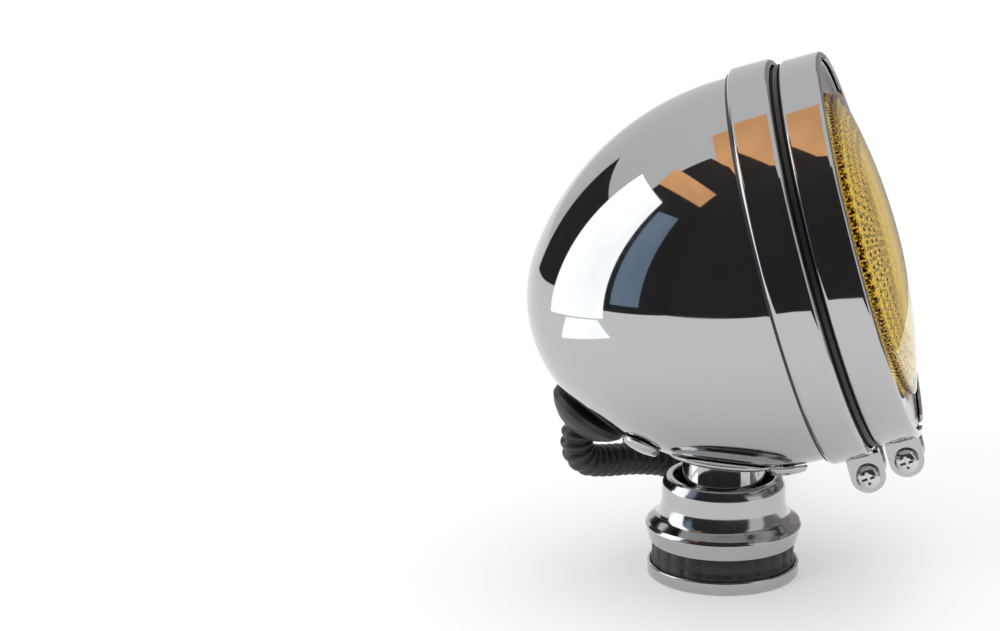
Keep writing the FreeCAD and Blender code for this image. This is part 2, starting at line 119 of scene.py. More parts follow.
# ---- settings ----
class FogFinishSettings(PropertyGroup):
    chrome: FloatVectorProperty(
        name="Chrome", description="Colour of the plated steel", subtype="COLOR", size=3,
        default=(0.47, 0.475, 0.48), min=0, max=1)
    zinc: FloatVectorProperty(
        name="Zinc", description="Colour of the zinc-plated screws and nuts", subtype="COLOR",
        size=3, default=(0.62, 0.63, 0.64), min=0, max=1)
    amber: FloatVectorProperty(
        name="Amber", description="Tint of the moulded lens", subtype="COLOR", size=3,
        default=(1.0, 0.89, 0.32), min=0, max=1)
    rubber: FloatVectorProperty(
        name="Rubber", description="Colour of rubber and cord", subtype="COLOR", size=3,
        default=(0.014, 0.014, 0.015), min=0, max=1)
    chrome_roughness: FloatProperty(
        name="Chrome Roughness", description="Blur of the plating's reflections",
        default=0.035, min=0, max=1, subtype="FACTOR")


class FogLensSettings(PropertyGroup):
    beads: IntProperty(
        name="Beads", description="Beads in each ring of the lens", default=68, min=12, max=160)
    bead_size: FloatProperty(
        name="Bead Size", description="Diameter of one bead", default=3.3 * MM, min=0.5 * MM,
        max=8 * MM, unit="LENGTH")
    bead_height: FloatProperty(
        name="Bead Height", description="How far a bead stands out of the lens's inner face",
        default=1.7 * MM, min=0, max=3 * MM, unit="LENGTH")
    ribs: IntProperty(
        name="Ribs", description="Fine ribs round the lens's side wall", default=160, min=24,
        max=360)


class FogCordSettings(PropertyGroup):
    ridge_pitch: FloatProperty(
        name="Ridge Pitch", description="Spacing of the loom's ridges", default=4.3 * MM,
        min=1 * MM, max=10 * MM, unit="LENGTH")
    ridge_depth: FloatProperty(
        name="Ridge Depth", description="Depth of the grooves between ridges",
        default=1.6 * MM, min=0, max=3 * MM, unit="LENGTH")


class FogStageSettings(PropertyGroup):
    floor: FloatVectorProperty(
        name="Floor", description="Colour of the studio floor", subtype="COLOR", size=3,
        default=(0.72, 0.72, 0.72), min=0, max=1)
    floor_glow: FloatProperty(
        name="Floor Glow", description="Share of plain white that the floor shows of itself",
        default=0.3, min=0, max=1, subtype="FACTOR")
    key_power: FloatProperty(
        name="Key Power", description="Power of each large soft light", default=8.0, min=0,
        max=500, unit="POWER")
    world_strength: FloatProperty(
        name="World Strength", description="Brightness of the surrounding studio",
        default=0.86, min=0, max=5)


SETTINGS = {
    "fog_finish": FogFinishSettings,
    "fog_lens": FogLensSettings,
    "fog_cord": FogCordSettings,
    "fog_stage": FogStageSettings,
}


# ---- shader groups ----
def node_at(tree, kind, **values):
    """New node; keyword values set its properties, or its inputs by name."""
    node = tree.nodes.new(kind)
    for key, value in values.items():
        if hasattr(node, key):
            setattr(node, key, value)
        else:
            node.inputs[key.replace("_", " ")].default_value = value
    return node


def group_tree(name, inputs, outputs):
    tree = bpy.data.node_groups.new(name, "ShaderNodeTree")
    for label, kind, value in inputs:
        socket = tree.interface.new_socket(label, in_out="INPUT", socket_type=kind)
        socket.default_value = value
    for label, kind in outputs:
        tree.interface.new_socket(label, in_out="OUTPUT", socket_type=kind)
    return tree, tree.nodes.new("NodeGroupInput"), tree.nodes.new("NodeGroupOutput")


def smudge_group():
    """Faint handling marks: a roughness that drifts and a nearly flat normal."""
    name = "handling_marks"
    if name in bpy.data.node_groups:
        return bpy.data.node_groups[name]
    tree, start, end = group_tree(
        name,
        [("Roughness", "NodeSocketFloat", 0.05), ("Marks", "NodeSocketFloat", 0.05),
         ("Scale", "NodeSocketFloat", 40.0), ("Ripple", "NodeSocketFloat", 0.02)],
        [("Roughness", "NodeSocketFloat"), ("Normal", "NodeSocketVector")])
    link = tree.links.new
    place = node_at(tree, "ShaderNodeTexCoord")
    broad = node_at(tree, "ShaderNodeTexNoise", Detail=6.0, Roughness=0.62)
    link(place.outputs["Object"], broad.inputs["Vector"])
    link(start.outputs["Scale"], broad.inputs["Scale"])
    shaped = node_at(tree, "ShaderNodeMapRange")
    shaped.inputs["From Min"].default_value = 0.48
    shaped.inputs["From Max"].default_value = 0.78
    link(broad.outputs["Fac"], shaped.inputs["Value"])
    add = node_at(tree, "ShaderNodeMath", operation="MULTIPLY_ADD")
    link(shaped.outputs["Result"], add.inputs[0])
    link(start.outputs["Marks"], add.inputs[1])
    link(start.outputs["Roughness"], add.inputs[2])
    link(add.outputs["Value"], end.inputs["Roughness"])
    wave = node_at(tree, "ShaderNodeTexNoise", Scale=26.0, Detail=1.0)
    link(place.outputs["Object"], wave.inputs["Vector"])
    bump = node_at(tree, "ShaderNodeBump", Distance=0.002)
    link(start.outputs["Ripple"], bump.inputs["Strength"])
    link(wave.outputs["Fac"], bump.inputs["Height"])
    link(bump.outputs["Normal"], end.inputs["Normal"])
    return tree


def speck_group():
    """Fine pits and dust as a mask."""
    name = "dust_specks"
    if name in bpy.data.node_groups:
        return bpy.data.node_groups[name]
    tree, start, end = group_tree(
        name,
        [("Scale", "NodeSocketFloat", 300.0), ("Amount", "NodeSocketFloat", 0.08)],
        [("Mask", "NodeSocketFloat")])
    link = tree.links.new
    place = node_at(tree, "ShaderNodeTexCoord")
    cells = node_at(tree, "ShaderNodeTexVoronoi")
    link(place.outputs["Object"], cells.inputs["Vector"])
    link(start.outputs["Scale"], cells.inputs["Scale"])
    inside = node_at(tree, "ShaderNodeMath", operation="LESS_THAN")
    link(cells.outputs["Distance"], inside.inputs[0])
    link(start.outputs["Amount"], inside.inputs[1])
    patch = node_at(tree, "ShaderNodeTexNoise", Scale=35.0, Detail=2.0)
    link(place.outputs["Object"], patch.inputs["Vector"])
    some = node_at(tree, "ShaderNodeMath", operation="GREATER_THAN")
    some.inputs[1].default_value = 0.55
    link(patch.outputs["Fac"], some.inputs[0])
    both = node_at(tree, "ShaderNodeMath", operation="MULTIPLY")
    link(inside.outputs["Value"], both.inputs[0])
    link(some.outputs["Value"], both.inputs[1])
    link(both.outputs["Value"], end.inputs["Mask"])
    return tree


def grain_group():
    """Moulded or cast grain: a height and a slow drift of tone."""
    name = "moulded_grain"
    if name in bpy.data.node_groups:
        return bpy.data.node_groups[name]
    tree, start, end = group_tree(
        name,
        [("Scale", "NodeSocketFloat", 900.0), ("Drift Scale", "NodeSocketFloat", 60.0)],
        [("Height", "NodeSocketFloat"), ("Drift", "NodeSocketFloat")])
    link = tree.links.new
    place = node_at(tree, "ShaderNodeTexCoord")
    fine = node_at(tree, "ShaderNodeTexNoise", Detail=4.0)
    link(place.outputs["Object"], fine.inputs["Vector"])
    link(start.outputs["Scale"], fine.inputs["Scale"])
    slow = node_at(tree, "ShaderNodeTexNoise", Detail=5.0, Roughness=0.6)
    link(place.outputs["Object"], slow.inputs["Vector"])
    link(start.outputs["Drift Scale"], slow.inputs["Scale"])
    link(fine.outputs["Fac"], end.inputs["Height"])
    link(slow.outputs["Fac"], end.inputs["Drift"])
    return tree


def placed_group(tree, group, **values):
    node = tree.nodes.new("ShaderNodeGroup")
    node.node_tree = group
    for key, value in values.items():
        node.inputs[key.replace("_", " ")].default_value = value
    return node


# ---- materials ----
def new_material(name):
    material = bpy.data.materials.new(name)
    material.use_nodes = True
    return material, material.node_tree, material.node_tree.nodes["Principled BSDF"]


def plated_material(name, colour, roughness, marks, ripple, specks=0.0):
    """Plated steel: mirror-like, with handling marks, ripple and a few pits."""
    material, tree, shader = new_material(name)
    link = tree.links.new
    shader.inputs["Metallic"].default_value = 1.0
    smudge = placed_group(tree, smudge_group(), Roughness=roughness, Marks=marks, Ripple=ripple)
    link(smudge.outputs["Roughness"], shader.inputs["Roughness"])
    link(smudge.outputs["Normal"], shader.inputs["Normal"])
    pits = placed_group(tree, speck_group(), Scale=420.0, Amount=specks)
    mix = node_at(tree, "ShaderNodeMix", data_type="RGBA")
    mix.inputs["A"].default_value = (*colour, 1)
    mix.inputs["B"].default_value = (*[c * 0.35 for c in colour], 1)
    link(pits.outputs["Mask"], mix.inputs["Factor"])
    link(mix.outputs["Result"], shader.inputs["Base Color"])
    return material


def moulded_material(name, colour, roughness, grain_scale, bump, drift=0.35):
    """Rubber or plastic: fine grain in the bump and a slow drift in tone and sheen."""
    material, tree, shader = new_material(name)
    link = tree.links.new
    grain = placed_group(tree, grain_group(), Scale=grain_scale)
    mix = node_at(tree, "ShaderNodeMix", data_type="RGBA")
    mix.inputs["A"].default_value = (*[c * (1 - drift) for c in colour], 1)
    mix.inputs["B"].default_value = (*[min(1, c * (1 + 2 * drift)) for c in colour], 1)
    link(grain.outputs["Drift"], mix.inputs["Factor"])
    link(mix.outputs["Result"], shader.inputs["Base Color"])
    gloss = node_at(tree, "ShaderNodeMapRange")
    gloss.inputs["To Min"].default_value = roughness - 0.08
    gloss.inputs["To Max"].default_value = roughness + 0.1
    link(grain.outputs["Drift"], gloss.inputs["Value"])
    link(gloss.outputs["Result"], shader.inputs["Roughness"])
    relief = node_at(tree, "ShaderNodeBump", Distance=0.0002, Strength=bump)
    link(grain.outputs["Height"], relief.inputs["Height"])
    link(relief.outputs["Normal"], shader.inputs["Normal"])
    return material


def glass_material(name, colour, depth_colour, density):
    """Clear or tinted glass: the thicker the wall, the deeper the colour."""
    material, tree, shader = new_material(name)
    link = tree.links.new
    shader.inputs["Transmission Weight"].default_value = 1.0
    shader.inputs["IOR"].default_value = 1.5
    grain = placed_group(tree, grain_group(), Scale=240.0, Drift_Scale=30.0)
    mix = node_at(tree, "ShaderNodeMix", data_type="RGBA")
    mix.inputs["A"].default_value = (*colour, 1)
    mix.inputs["B"].default_value = (*[c * 0.94 for c in colour], 1)
    link(grain.outputs["Drift"], mix.inputs["Factor"])
    link(mix.outputs["Result"], shader.inputs["Base Color"])
    gloss = node_at(tree, "ShaderNodeMapRange")
    gloss.inputs["To Min"].default_value = 0.0
    gloss.inputs["To Max"].default_value = 0.03
    link(grain.outputs["Drift"], gloss.inputs["Value"])
    link(gloss.outputs["Result"], shader.inputs["Roughness"])
    if density:
        depth = node_at(tree, "ShaderNodeVolumeAbsorption", Density=density)
        depth.inputs["Color"].default_value = (*depth_colour, 1)
        link(depth.outputs["Volume"], tree.nodes["Material Output"].inputs["Volume"])
    return material


def material(slot):
    """The finish of one of the record's material slots, made once."""
    name = "finish_" + slot
    if name in bpy.data.materials:
        return bpy.data.materials[name]
    look = bpy.context.scene.fog_finish
    chrome, zinc, rubber = tuple(look.chrome), tuple(look.zinc), tuple(look.rubber)
    rough = look.chrome_roughness
    if slot == "chrome":
        return plated_material(name, chrome, rough, 0.05, 0.012, 0.05)
    if slot == "spun_chrome":
        return plated_material(name, chrome, 0.12, 0.12, 0.03, 0.08)
    if slot == "dark_mirror":
        return plated_material(name, (0.24, 0.248, 0.264), rough + 0.02, 0.09, 0.02, 0.06)
    if slot == "zinc":
        return plated_material(name, zinc, 0.2, 0.16, 0.05, 0.1)
    if slot == "steel":
        return plated_material(name, (0.45, 0.45, 0.46), 0.3, 0.15, 0.05, 0.1)
    if slot == "tungsten":
        return plated_material(name, (0.30, 0.28, 0.26), 0.35, 0.1, 0.0)
    if slot == "brass":
        return plated_material(name, (0.72, 0.55, 0.28), 0.22, 0.12, 0.03, 0.08)
    if slot == "reflector":
        return plated_material(name, (0.88, 0.87, 0.84), 0.08, 0.08, 0.03, 0.04)
    if slot == "well":
        return plated_material(name, (0.16, 0.155, 0.14), 0.3, 0.14, 0.05, 0.05)
    if slot == "amber_glass":
        return glass_material(name, tuple(look.amber), (1.0, 0.76, 0.08), 75.0)
    if slot == "clear_glass":
        return glass_material(name, (0.97, 0.97, 0.97), (1, 1, 1), 0.0)
    if slot == "rubber":
        return moulded_material(name, rubber, 0.45, 1400.0, 0.4)
    if slot == "loom":
        return moulded_material(name, (0.020, 0.020, 0.022), 0.36, 1600.0, 0.3)
    if slot == "black_plastic":
        return moulded_material(name, (0.022, 0.022, 0.023), 0.45, 1100.0, 0.4)
    if slot == "black_paint":
        return moulded_material(name, (0.03, 0.03, 0.032), 0.4, 500.0, 0.3)
    if slot == "wire":
        return moulded_material(name, (0.02, 0.02, 0.022), 0.35, 900.0, 0.2)
    raise ValueError("no finish for slot " + slot)


# ---- outlines and meshes ----
def arc(centre, radius, start, end, steps):
    """Points of an arc in the (radius, height) plane; angles in degrees from +radius."""
    points = []
    for k in range(steps + 1):
        t = math.radians(start + (end - start) * k / steps)
        points.append((centre[0] + radius * math.cos(t), centre[1] + radius * math.sin(t)))
    return points


def rounded(corners, closed=True, step=math.radians(12)):
    """Outline through (r, a, fillet) corners, each fillet turned into a fine arc."""
    points = []
    count = len(corners)
    for i, corner in enumerate(corners):
        here = Vector(corner[:2])
        fillet = corner[2] if len(corner) > 2 else 0.0
        ends = not closed and i in (0, count - 1)
        if fillet <= 0 or ends:
            points.append(tuple(here))
            continue
        to_before = (Vector(corners[i - 1][:2]) - here).normalized()
        to_after = (Vector(corners[(i + 1) % count][:2]) - here).normalized()
        half = to_before.angle(to_after) / 2
        back = fillet / math.tan(half)
        centre = here + (to_before + to_after).normalized() * (fillet / math.sin(half))
        first = here + to_before * back - centre
        last = here + to_after * back - centre
        turn = first.angle_signed(last)
        steps = max(2, int(abs(turn) / step))
        for k in range(steps + 1):
            points.append(tuple(centre + Matrix.Rotation(-turn * k / steps, 2) @ first))
    return points


def finish_mesh(name, vertices, faces, slot, place=Matrix.Identity(4),
                sharp=math.radians(40)):
    """Mesh object with doubles merged, normals outward and sharp edges kept."""
    mesh = bpy.data.meshes.new(name)
    mesh.from_pydata([place @ (Vector(v) * MM) for v in vertices], [], faces)
    work = bmesh.new()
    work.from_mesh(mesh)
    bmesh.ops.remove_doubles(work, verts=work.verts, dist=2e-6)
    bmesh.ops.recalc_face_normals(work, faces=work.faces)
    work.to_mesh(mesh)
    work.free()
    mesh.shade_smooth()
    mesh.set_sharp_from_angle(angle=sharp)
    mesh.materials.append(material(slot))
    piece = bpy.data.objects.new(name, mesh)
    bpy.context.scene.collection.objects.link(piece)
    return piece


def lathe_data(outline, around=AROUND, span=None, closed=True, shape=None):
    """Vertices and faces of an outline turned about the local Z axis.

    span is a (from, to) angle for a split ring; shape(r, a, turn) may move a point."""
    full = span is None
    start, end = (0.0, 2 * math.pi) if full else span
    rows = around if full else around + 1
    vertices = []
    for i in range(rows):
        turn = start + (end - start) * i / around
        for r, a in outline:
            rr, aa = shape(r, a, turn) if shape else (r, a)
            vertices.append((rr * math.cos(turn), rr * math.sin(turn), aa))
    count = len(outline)
    strips = count if closed else count - 1
    faces = []
    for i in range(around):
        j = (i + 1) % rows
        for k in range(strips):
            m = (k + 1) % count
            faces.append((i * count + k, j * count + k, j * count + m, i * count + m))
    if not full:
        faces.append(tuple(range(count)))
        faces.append(tuple(reversed([(rows - 1) * count + k for k in range(count)])))
    return vertices, faces


def lathe(name, outline, slot, place=Matrix.Identity(4), **how):
    vertices, faces = lathe_data(outline, **how)
    return finish_mesh(name, vertices, faces, slot, place)


def box_data(size, centre=(0, 0, 0)):
    half = [s / 2 for s in size]
    corners = [(centre[0] + x * half[0], centre[1] + y * half[1], centre[2] + z * half[2])
               for x in (-1, 1) for y in (-1, 1) for z in (-1, 1)]
    faces = [(0, 1, 3, 2), (4, 6, 7, 5), (0, 4, 5, 1), (2, 3, 7, 6), (0, 2, 6, 4), (1, 5, 7, 3)]
    return corners, faces


def joined_data(parts):
    vertices, faces = [], []
    for more_vertices, more_faces in parts:
        base = len(vertices)
        vertices.extend(more_vertices)
        faces.extend(tuple(base + k for k in face) for face in more_faces)
    return vertices, faces


def moved(data, place):
    """The same vertices and faces under a transform whose lengths are in millimetres."""
    vertices, faces = data
    return [tuple(place @ Vector(v)) for v in vertices], faces


def apply_modifiers(piece):
    bpy.context.view_layer.update()
    view = piece.evaluated_get(bpy.context.evaluated_depsgraph_get())
    mesh = bpy.data.meshes.new_from_object(view)
    piece.modifiers.clear()
    piece.data = mesh


def carve(piece, cutter_data):
    """Cuts a solid given in millimetres out of a piece."""
    vertices, faces = cutter_data
    mesh = bpy.data.meshes.new("cutter")
    mesh.from_pydata([Vector(v) * MM for v in vertices], [], faces)
    cutter = bpy.data.objects.new("cutter", mesh)
    bpy.context.scene.collection.objects.link(cutter)
    cut = piece.modifiers.new("cut", "BOOLEAN")
    cut.operation = "DIFFERENCE"
    cut.solver = "EXACT"
    cut.object = cutter
    apply_modifiers(piece)
    bpy.data.objects.remove(cutter)
    bpy.data.meshes.remove(mesh)


def settle(piece, body, *nodes):
    """Puts a finished piece on its body, in place of its CAD nodes."""
    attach(piece, body)
    if nodes:
        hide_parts(*nodes)
    return piece


# ---- bowl surface ----
def bowl_outline(inset, steps=40):
    """Open outline of the bowl's skin from the tip to its cylindrical rim."""
    points = []
    nose, flank = NOSE_R - inset, FLANK_R - inset
    for k in range(steps + 1):
        t = NOSE_TURN * k / steps
        points.append((nose * math.sin(t), NOSE_CENTRE - nose * math.cos(t)))
    for k in range(1, steps + 1):
        t = NOSE_TURN + (math.pi / 2 - NOSE_TURN) * k / steps
        points.append((FLANK_CENTRE_R + flank * math.sin(t), FLANK_CENTRE_A - flank * math.cos(t)))
    return points


def bowl_radius(a):
    join = NOSE_CENTRE - NOSE_R * math.cos(NOSE_TURN)
    if a < join:
        return math.sqrt(max(0.0, NOSE_R ** 2 - (a - NOSE_CENTRE) ** 2))
    if a < FLANK_CENTRE_A:
        return FLANK_CENTRE_R + math.sqrt(FLANK_R ** 2 - (a - FLANK_CENTRE_A) ** 2)
    return BOWL_R


def bowl_underside(x, y):
    """Height of the bowl's outer skin above a point of the ground plan, in millimetres."""
    low, high = 30.0, 110.0
    for _ in range(40):
        z = (low + high) / 2
        up = y * math.sin(TILT) + (z - HEAD_Z) * math.cos(TILT)
        a = -y * math.cos(TILT) + (z - HEAD_Z) * math.sin(TILT)
        if math.hypot(x, up) > bowl_radius(a):
            low = z
        else:
            high = z
    return high


def bowl_seat(angle, lateral):
    """Transform, in millimetres, that stands +Z out of the bowl's underside at one place."""
    if angle < NOSE_TURN:
        radius, a = NOSE_R * math.sin(angle), NOSE_CENTRE - NOSE_R * math.cos(angle)
    else:
        radius = FLANK_CENTRE_R + FLANK_R * math.sin(angle)
        a = FLANK_CENTRE_A - FLANK_R * math.cos(angle)
    turn = HEAD.to_3x3()
    point = turn @ Vector((-radius * math.sin(lateral), -radius * math.cos(lateral), a))
    normal = turn @ Vector((-math.sin(angle) * math.sin(lateral),
                            -math.sin(angle) * math.cos(lateral), -math.cos(angle)))
    spin = Vector((0, 0, 1)).rotation_difference(normal).to_matrix().to_4x4()
    return Matrix.Translation(point + Vector((0, 0, HEAD_Z))) @ spin


# ---- housing ----
class FOG_OT_housing(Operator):
    """Makes the deep chrome bowl"""
    bl_idname = "fog.housing"
    bl_label = "Housing Bowl"

    def execute(self, context):
        outer = bowl_outline(0.0) + [(BOWL_R, BOWL_END - 0.4), (BOWL_R - 0.2, BOWL_END)]
        inner = [(BOWL_R - BOWL_T, BOWL_END)] + list(reversed(bowl_outline(BOWL_T)))
        bowl = lathe("housing_bowl_skin", outer + inner, "chrome", HEAD, closed=False)
        settle(bowl, "head", "housing_bowl")
        return {"FINISHED"}


# ---- clamp bands ----
def band_outline(band):
    radius, (low, high), lip = band["radius"], band["span"], band["lip"]
    return rounded([
        (lip, low, 0.4), (radius, low, 2.0), (radius, high, 2.2), (lip, high, 0.5),
        (lip, high - BAND_T, 0.0), (radius - BAND_T, high - BAND_T, 1.2),
        (radius - BAND_T, low + BAND_T, 1.2), (lip, low + BAND_T, 0.0)], step=math.radians(9))


def lug_data(band, side):
    """Bent strap that leaves the hoop, runs down and ends in a round tip."""
    place, reach = band["screw"]
    radius = band["radius"]
    bend = 2.4
    edge_x = LUG_GAP + LUG_T / 2
    mid_r = radius - BAND_T / 2
    path = []
    for k in range(5):
        turn = math.radians(10.0 - k * 0.9)
        path.append((mid_r * math.sin(turn), mid_r * math.cos(turn)))
    corner = (edge_x, math.sqrt(mid_r ** 2 - edge_x ** 2))
    for k in range(9):
        turn = math.pi / 2 * k / 8
        path.append((edge_x + bend * (1 - math.sin(turn)),
                     corner[1] + bend * (1 - math.cos(turn))))
    straight = reach + LUG_HALF_WIDTH
    top = path[-1][1]
    for k in range(1, 31):
        share = math.sin(math.pi / 2 * k / 30)
        path.append((edge_x, top + (straight - top) * share))
    rows, across = len(path), 20
    outer, inner = [], []
    for i, (x, r) in enumerate(path):
        before = path[max(0, i - 1)]
        after = path[min(rows - 1, i + 1)]
        along = Vector((after[0] - before[0], after[1] - before[1])).normalized()
        normal = Vector((along.y, -along.x))
        past = r - reach
        width = LUG_HALF_WIDTH
        if past > 0:
            width = math.sqrt(max(0.02, LUG_HALF_WIDTH ** 2 - past ** 2))
        for j in range(across + 1):
            a = place + width * (2 * j / across - 1)
            for store, sign in ((outer, 1), (inner, -1)):
                p = Vector((x, r)) + normal * sign * LUG_T / 2
                store.append((side * p.x, -p.y, a))
    vertices = outer + inner
    shift = len(outer)
    line = across + 1
    faces = []
    for i in range(rows - 1):
        for j in range(across):
            quad = (i * line + j, i * line + j + 1, (i + 1) * line + j + 1, (i + 1) * line + j)
            faces.append(quad)
            faces.append(tuple(shift + k for k in reversed(quad)))
        for j in (0, across):
            a, b = i * line + j, (i + 1) * line + j
            faces.append((a, b, shift + b, shift + a))
    for j in range(across):
        for i in (0, rows - 1):
            a, b = i * line + j, i * line + j + 1
            faces.append((a, b, shift + b, shift + a))
    return vertices, faces


def make_band(name, node, band):
    half_gap = math.asin(LUG_GAP / band["radius"])
    span = (-math.pi / 2 + half_gap, 3 * math.pi / 2 - half_gap)
    hoop = lathe_data(band_outline(band), span=span)
    parts = [hoop, lug_data(band, 1), lug_data(band, -1)]
    vertices, faces = joined_data(parts)
    piece = finish_mesh(name, vertices, faces, "chrome", HEAD, sharp=math.radians(45))
    return settle(piece, "head", node)


class FOG_OT_bands(Operator):
    """Makes the two split clamp bands, the rubber between them and a black ring of painted shadow
    at the rear band's back edge
    """
    bl_idname = "fog.bands"
    bl_label = "Clamp Bands"

    def execute(self, context):
        make_band("rear_band_hoop", "rear_clamp_band", REAR_BAND)
        make_band("front_band_hoop", "front_clamp_band", FRONT_BAND)
        low = REAR_BAND["span"][0]
        # Thin black ring at the rear band's back edge: painted shadow, a dark line that stands in
        # for the shade and dark reflection in the groove between band and bowl.
        painted_shadow_ring = lathe("rear_band_painted_shadow", [
            (BOWL_R, low - 1.1), (BOWL_R + 1.2, low - 0.8), (BOWL_R + 1.7, low + 0.4),
            (BOWL_R, low + 0.4)], "rubber", HEAD)
        settle(painted_shadow_ring, "head")
        gasket = lathe("band_gasket_rubber", rounded([
            (77.05, 34.6, 0.0), (78.4, 34.6, 0.2), (78.4, 40.6, 0.0), (79.2, 41.2, 0.4),
            (79.2, 43.0, 0.4), (77.8, 43.4, 0.0), (77.6, 49.6, 0.2), (77.05, 49.6, 0.0)]),
            "rubber", HEAD)
        settle(gasket, "head", "band_gasket")
        return {"FINISHED"}


# ---- clamp screws ----
THREAD_PITCH = 0.8
THREAD_DEPTH = 0.42
SCREW_LENGTH = 35.0
SCREW_HEAD_R = 5.0
RECESS = (5.4, 1.2, 2.4)        # one wing of the cross recess
RECESS_MID = 3.0


def threaded_rod(radius, length, pitch, depth, around=32):
    """Rod along -Z with a real helical thread, tapering out at its tip."""
    rows = int(length / pitch * 8)
    vertices, faces = [], []
    for i in range(rows + 1):
        z = -length * i / rows
        fade = min(1.0, (length + z) / 1.2)
        for k in range(around):
            turn = 2 * math.pi * k / around
            phase = (z / pitch + k / around) % 1.0
            ridge = 1 - abs(2 * phase - 1)
            r = radius - depth * (1 - ridge) - (1 - fade) * 0.5
            vertices.append((r * math.cos(turn), r * math.sin(turn), z))
    for i in range(rows):
        for k in range(around):
            m = (k + 1) % around
            faces.append((i * around + k, i * around + m, (i + 1) * around + m,
                          (i + 1) * around + k))
    faces.append(tuple(range(around)))
    faces.append(tuple(reversed([rows * around + k for k in range(around)])))
    return vertices, faces


def make_clamp_screw(name, node, body, band):
    place, reach = band["screw"]
    head = lathe(name + "_head", rounded([
        (0.0, 0.0, 0.0), (SCREW_HEAD_R - 0.1, 0.0, 0.2), (SCREW_HEAD_R, 1.6, 0.5),
        (SCREW_HEAD_R - 1.0, 2.9, 1.6), (2.2, 3.55, 0.8), (0.0, 3.6, 0.0)], closed=False),
        "zinc", around=72, closed=False)
    for turn in (math.radians(20), math.radians(110)):
        wing = box_data(RECESS, (0, 0, RECESS_MID))
        carve(head, moved(wing, Matrix.Rotation(turn, 4, "Z")))
    head.data.shade_smooth()
    head.data.set_sharp_from_angle(angle=math.radians(35))
    vertices, faces = threaded_rod(2.49, SCREW_LENGTH, THREAD_PITCH, THREAD_DEPTH)
    rod = finish_mesh(name + "_rod", vertices, faces, "zinc", sharp=math.radians(75))
    at = HEAD @ Vector((-(LUG_GAP + LUG_T + 0.1) * MM, -reach * MM, place * MM))
    stand = Matrix.Translation(at) @ Vector((0, 0, 1)).rotation_difference(
        Vector((-1, 0, 0))).to_matrix().to_4x4()
    for part in (head, rod):
        part.data.transform(stand)
        settle(part, body, node)


class FOG_OT_clamp_screws(Operator):
    """Makes the two cross-recess clamp screws with their threads"""
    bl_idname = "fog.clamp_screws"
    bl_label = "Clamp Screws"

    def execute(self, context):
        make_clamp_screw("rear_screw", "rear_clamp_screw", "rear_screw", REAR_BAND)
        make_clamp_screw("front_screw", "front_clamp_screw", "front_screw", FRONT_BAND)
        return {"FINISHED"}


# ---- lens ----
SPHERE_R = (LENS_R ** 2 + LENS_DOME ** 2) / (2 * LENS_DOME)
SPHERE_A = LENS_RIM_A + LENS_DOME - SPHERE_R
BEAD_RINGS = (54.0, 48.2, 42.6)
BEAD_MARGIN = 1.8
RIB_DEPTH = 0.5


def dome_a(radius, drop=0.0):
    return SPHERE_A + math.sqrt((SPHERE_R - drop) ** 2 - radius ** 2)


def bead_rise(radius, turn, lens):
    """How far the nearest bead stands out of the lens's inner face, in millimetres."""
    size = lens.bead_size / MM / 2
    for ring in BEAD_RINGS:
        if abs(radius - ring) < size:
            pitch = 2 * math.pi / lens.beads
            across = (turn / pitch - round(turn / pitch)) * pitch * ring
            apart = math.hypot(across, radius - ring) / size
            if apart < 1:
                return lens.bead_height / MM * math.sqrt(1 - apart ** 2)
    return 0.0


def bead_rows():
    """Radii of the inner face's rows, fine across the bead rings and coarse inside them."""
    low, high = min(BEAD_RINGS) - BEAD_MARGIN, max(BEAD_RINGS) + BEAD_MARGIN
    coarse = [low * k / 12 for k in range(12)]
    return coarse + [low + (high - low) * k / 40 for k in range(41)]


class FOG_OT_lens(Operator):
    """Makes the amber lens with its bead rings and ribbed side wall"""
    bl_idname = "fog.lens"
    bl_label = "Lens"

    def execute(self, context):
        lens = context.scene.fog_lens
        top = LENS_R - 0.6
        outline = [(top * k / 16, dome_a(top * k / 16)) for k in range(17)]
        wall = [(LENS_R - 0.25, LENS_RIM_A), (LENS_R, LENS_RIM_A - 0.5), (LENS_R, 56.0),
                (LENS_R + 0.2, 55.6), (66.4, 55.5), (66.6, 55.3), (66.6, 53.8), (66.4, 53.6)]
        inner_r = LENS_R - LENS_T
        shoulder = dome_a(inner_r, LENS_T)
        inside = [(inner_r, 53.6), (inner_r, shoulder - 1.0), (inner_r - 0.3, shoulder - 0.3)]
        inside += [(r, dome_a(r, LENS_T)) for r in reversed(bead_rows())]

        def shape(r, a, turn):
            if r < inner_r - 1 and a < dome_a(r, LENS_T / 2):
                return r, a - bead_rise(r, turn, lens)
            if LENS_R - 0.01 < r < LENS_R + 0.1:
                return r - RIB_DEPTH * (1 - abs(math.sin(turn * lens.ribs / 2))), a
            return r, a

        piece = lathe("lens_glass", outline + wall + inside, "amber_glass", HEAD,
                      around=lens.beads * 14, closed=False, shape=shape)
        settle(piece, "head", "lens")
        return {"FINISHED"}


# ---- faceplate and optics ----
class FOG_OT_faceplate(Operator):
    """Makes the dished chrome ring round the lens"""
    bl_idname = "fog.faceplate"
    bl_label = "Faceplate"

    def execute(self, context):
        dish = [(77.0 - k * 13.6 / 24, 59.3 - 1.8 * math.sin(math.pi / 2 * k / 24) ** 0.8)
                for k in range(2, 25)]
        under = [(r, a - 1.0) for r, a in reversed(dish)]
        outline = [(76.0, 52.0), (77.0, 52.0), (77.0, 58.5), (76.8, 59.0)] + dish + [
            (LENS_R + 0.45, 57.3), (LENS_R + 0.45, 56.6)] + under + [(76.0, 57.6)]
        plate = lathe("faceplate_ring", outline, "dark_mirror", HEAD)
        settle(plate, "head", "faceplate")
        return {"FINISHED"}


def dish_a(radius, drop=0.0):
    return DISH_APEX + radius ** 2 / (4 * DISH_FOCUS) - drop


